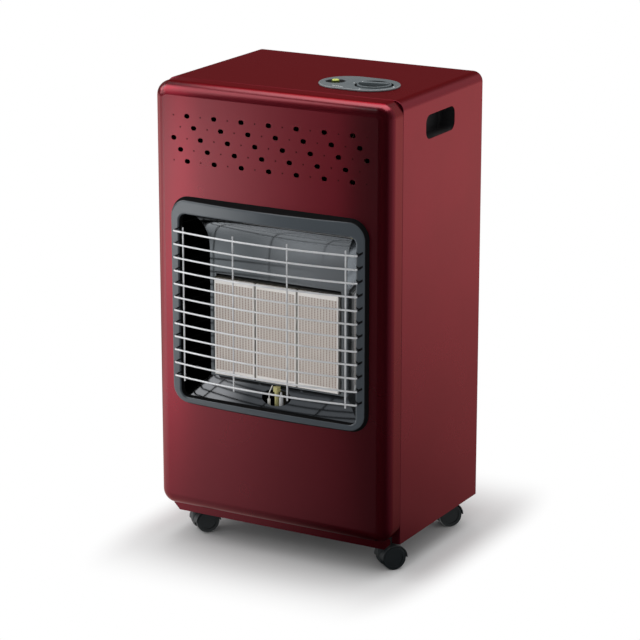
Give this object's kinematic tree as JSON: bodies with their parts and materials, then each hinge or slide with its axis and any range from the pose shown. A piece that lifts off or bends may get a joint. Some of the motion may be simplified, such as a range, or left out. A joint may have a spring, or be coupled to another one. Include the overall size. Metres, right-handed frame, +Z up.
{
  "type": "portable cabinet gas heater",
  "caption": "Sheet-steel cabinet gas heater on twin-wheel casters: radiant plaques behind a bowed wire guard in a grey bezel, top control plate, slotted handles, pull-off rear cover.",
  "frame": {"origin": "on the floor under the centre of the whole heater's bounding box", "axes": "+Z up, -Y towards the heater's front (the guarded window), +X to the right as seen by someone standing in front of it"},
  "size_m": [0.42, 0.4316, 0.7675],
  "materials": {
    "cabinet_paint": "satin burgundy stove paint",
    "tray_paint": "black stove paint",
    "galvanised": "bare galvanised sheet",
    "cup_plastic": "black moulded",
    "bezel_grey": "blue-grey satin, heat-resistant",
    "polished": "mirror-polished reflector sheet",
    "guard_chrome": "bright plated wire",
    "ceramic": "matt fired clay, perforated",
    "head_steel": "aluminised pressed steel",
    "brass": "turned brass",
    "copper_pipe": "drawn copper-coloured tube",
    "probe_steel": "turned steel",
    "insulator": "glazed white ceramic",
    "lead_rubber": "black insulated wire",
    "plate_grey": "blue-grey moulded",
    "knob_grey": "blue-grey moulded",
    "die_cast": "die-cast",
    "spring_steel": "spring wire",
    "igniter_black": "black moulded",
    "button_green": "yellow-green moulded",
    "zinc_plated": "bright zinc plate",
    "caster_black": "black moulded",
    "wheel_black": "black moulded",
    "grommet_rubber": "black rubber",
    "screw_zinc": "zinc plate"
  },
  "bodies": {
    "cabinet": {"casing_wrap": "cabinet_paint", "front_panel": "cabinet_paint", "base_tray": "tray_paint", "heat_shield": "galvanised", "handle_cup_right": "cup_plastic", "handle_cup_left": "cup_plastic", "bezel": "bezel_grey", "reflector_shell": "polished", "reflector_side_left": "polished", "reflector_side_right": "polished", "wire_guard": "guard_chrome", "burner_plaque_left": "ceramic", "burner_plaque_centre": "ceramic", "burner_plaque_right": "ceramic", "burner_head_left": "head_steel", "burner_head_centre": "head_steel", "burner_head_right": "head_steel", "burner_chassis": "galvanised", "gas_manifold": "die_cast", "injectors": "brass", "pilot_bracket": "galvanised", "pilot_burner": "brass", "thermocouple": "probe_steel", "spark_electrode": "insulator", "feed_pipe": "copper_pipe", "pilot_pipe": "copper_pipe", "igniter_lead": "lead_rubber", "control_plate": "plate_grey", "valve_body": "die_cast", "hose_nozzle": "brass", "valve_spring": "spring_steel", "igniter_body": "igniter_black", "igniter_spring": "spring_steel", "caster_stems": "zinc_plated", "cover_grommets": "grommet_rubber", "panel_screws": "screw_zinc", "bezel_screws": "screw_zinc"},
    "rear_cover": {"rear_cover": "cabinet_paint", "cover_studs": "screw_zinc"},
    "plunger": {"valve_plunger": "zinc_plated"},
    "knob": {"control_knob": "knob_grey", "valve_spindle": "zinc_plated"},
    "igniter_button": {"igniter_button": "button_green"},
    "caster_front_left": {"caster_hood_front_left": "caster_black", "caster_axle_front_left": "zinc_plated"},
    "wheel_outer_front_left": {"wheel_outer_front_left": "wheel_black"},
    "wheel_inner_front_left": {"wheel_inner_front_left": "wheel_black"},
    "caster_front_right": {"caster_hood_front_right": "caster_black", "caster_axle_front_right": "zinc_plated"},
    "wheel_outer_front_right": {"wheel_outer_front_right": "wheel_black"},
    "wheel_inner_front_right": {"wheel_inner_front_right": "wheel_black"},
    "caster_rear_left": {"caster_hood_rear_left": "caster_black", "caster_axle_rear_left": "zinc_plated"},
    "wheel_outer_rear_left": {"wheel_outer_rear_left": "wheel_black"},
    "wheel_inner_rear_left": {"wheel_inner_rear_left": "wheel_black"},
    "caster_rear_right": {"caster_hood_rear_right": "caster_black", "caster_axle_rear_right": "zinc_plated"},
    "wheel_outer_rear_right": {"wheel_outer_rear_right": "wheel_black"},
    "wheel_inner_rear_right": {"wheel_inner_rear_right": "wheel_black"}
  },
  "joints": [
    {"name": "rear_cover_pull", "type": "slide", "parent": "cabinet", "child": "rear_cover", "axis": [0, 1, 0], "range_m": [0, 0.3]},
    {"name": "knob_push", "type": "slide", "parent": "cabinet", "child": "plunger", "axis": [0, 0, -1], "range_m": [0, 0.004], "stiffness_N_per_m": 800, "springref_m": -0.004, "deforming": ["valve_spring"]},
    {"name": "knob_turn", "type": "hinge", "parent": "plunger", "child": "knob", "pos_m": [0.118, -0.05935, 0.75], "axis": [0, 0, 1], "range_deg": [0, 180]},
    {"name": "button_push", "type": "slide", "parent": "cabinet", "child": "igniter_button", "axis": [0, 0, -1], "range_m": [0, 0.005], "stiffness_N_per_m": 600, "springref_m": -0.005, "deforming": ["igniter_spring"]},
    {"name": "caster_front_left_swivel", "type": "hinge", "parent": "cabinet", "child": "caster_front_left", "pos_m": [-0.173, -0.12635, 0.04], "axis": [0, 0, 1], "continuous": true},
    {"name": "wheel_outer_front_left_spin", "type": "hinge", "parent": "caster_front_left", "child": "wheel_outer_front_left", "pos_m": [-0.16377, -0.11453, 0.0195], "axis": [0.788, -0.6157, 0], "continuous": true},
    {"name": "wheel_inner_front_left_spin", "type": "hinge", "parent": "caster_front_left", "child": "wheel_inner_front_left", "pos_m": [-0.16377, -0.11453, 0.0195], "axis": [0.788, -0.6157, 0], "continuous": true},
    {"name": "caster_front_right_swivel", "type": "hinge", "parent": "cabinet", "child": "caster_front_right", "pos_m": [0.173, -0.12635, 0.04], "axis": [0, 0, 1], "continuous": true},
    {"name": "wheel_outer_front_right_spin", "type": "hinge", "parent": "caster_front_right", "child": "wheel_outer_front_right", "pos_m": [0.18223, -0.11453, 0.0195], "axis": [0.788, -0.6157, 0], "continuous": true},
    {"name": "wheel_inner_front_right_spin", "type": "hinge", "parent": "caster_front_right", "child": "wheel_inner_front_right", "pos_m": [0.18223, -0.11453, 0.0195], "axis": [0.788, -0.6157, 0], "continuous": true},
    {"name": "caster_rear_left_swivel", "type": "hinge", "parent": "cabinet", "child": "caster_rear_left", "pos_m": [-0.163, 0.09265, 0.04], "axis": [0, 0, 1], "continuous": true},
    {"name": "wheel_outer_rear_left_spin", "type": "hinge", "parent": "caster_rear_left", "child": "wheel_outer_rear_left", "pos_m": [-0.15377, 0.10447, 0.0195], "axis": [0.788, -0.6157, 0], "continuous": true},
    {"name": "wheel_inner_rear_left_spin", "type": "hinge", "parent": "caster_rear_left", "child": "wheel_inner_rear_left", "pos_m": [-0.15377, 0.10447, 0.0195], "axis": [0.788, -0.6157, 0], "continuous": true},
    {"name": "caster_rear_right_swivel", "type": "hinge", "parent": "cabinet", "child": "caster_rear_right", "pos_m": [0.163, 0.09265, 0.04], "axis": [0, 0, 1], "continuous": true},
    {"name": "wheel_outer_rear_right_spin", "type": "hinge", "parent": "caster_rear_right", "child": "wheel_outer_rear_right", "pos_m": [0.17223, 0.10447, 0.0195], "axis": [0.788, -0.6157, 0], "continuous": true},
    {"name": "wheel_inner_rear_right_spin", "type": "hinge", "parent": "caster_rear_right", "child": "wheel_inner_rear_right", "pos_m": [0.17223, 0.10447, 0.0195], "axis": [0.788, -0.6157, 0], "continuous": true}
  ]
}
